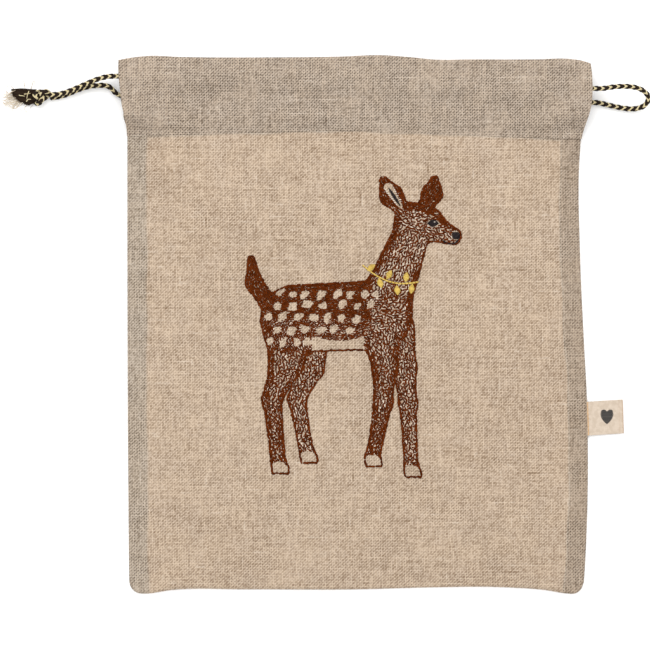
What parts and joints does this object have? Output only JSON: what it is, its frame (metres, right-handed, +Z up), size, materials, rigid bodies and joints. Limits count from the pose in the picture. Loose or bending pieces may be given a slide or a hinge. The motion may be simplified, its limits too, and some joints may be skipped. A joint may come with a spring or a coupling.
{
  "type": "drawstring pouch",
  "caption": "Flat linen drawstring treat pouch with deep casings, an embroidered front, a braided cord loop, knotted tails and a folded side label.",
  "frame": {"origin": "middle of the flat underside that lies on the table", "axes": "+X to the right across the front, +Y towards the mouth, +Z up out of the embroidered front"},
  "size_m": [0.3636, 0.2985, 0.0135],
  "materials": {
    "linen_body": "woven",
    "linen_band": "woven",
    "cotton_lining": "matte",
    "beige_thread": "matte",
    "amber_thread": "matte",
    "brown_thread": "matte",
    "dark_thread": "matte",
    "gold_thread": "matte",
    "label_satin": "matte",
    "charcoal_thread": "matte",
    "braided_cord": "matte",
    "cord_core": "matte"
  },
  "bodies": {
    "pouch": {"back_panel": "linen_body", "back_lining": "cotton_lining", "front_lining": "cotton_lining", "front_panel": "linen_body", "left_seam_allowance": "linen_band", "right_seam_allowance": "linen_band", "bottom_seam_allowance": "linen_band", "seam_stitching": "beige_thread", "back_casing": "linen_band", "front_casing": "linen_band", "back_casing_stitching": "beige_thread", "front_casing_stitching": "beige_thread", "label_seam_thread": "amber_thread", "fawn_embroidery": "brown_thread", "embroidery_face_details": "dark_thread", "embroidery_gold_collar": "gold_thread"},
    "drawstring": {"drawstring_front_run": "braided_cord", "drawstring_back_run": "braided_cord", "drawstring_loop": "braided_cord", "drawstring_front_tail": "braided_cord", "drawstring_back_tail": "braided_cord", "drawstring_knot": "braided_cord", "drawstring_frayed_braid": "braided_cord", "drawstring_core_fibres": "cord_core"},
    "label": {"side_label": "label_satin", "label_mark": "charcoal_thread"}
  },
  "joints": [
    {"name": "drawstring_slide", "type": "slide", "parent": "pouch", "child": "drawstring", "axis": [1, 0, 0], "range_m": [-0.01, 0.01]},
    {"name": "label_flap", "type": "hinge", "parent": "pouch", "child": "label", "pos_m": [0.1295, -0.0532, 0.0019], "axis": [0, -1, 0], "range_deg": [0, 120]}
  ]
}
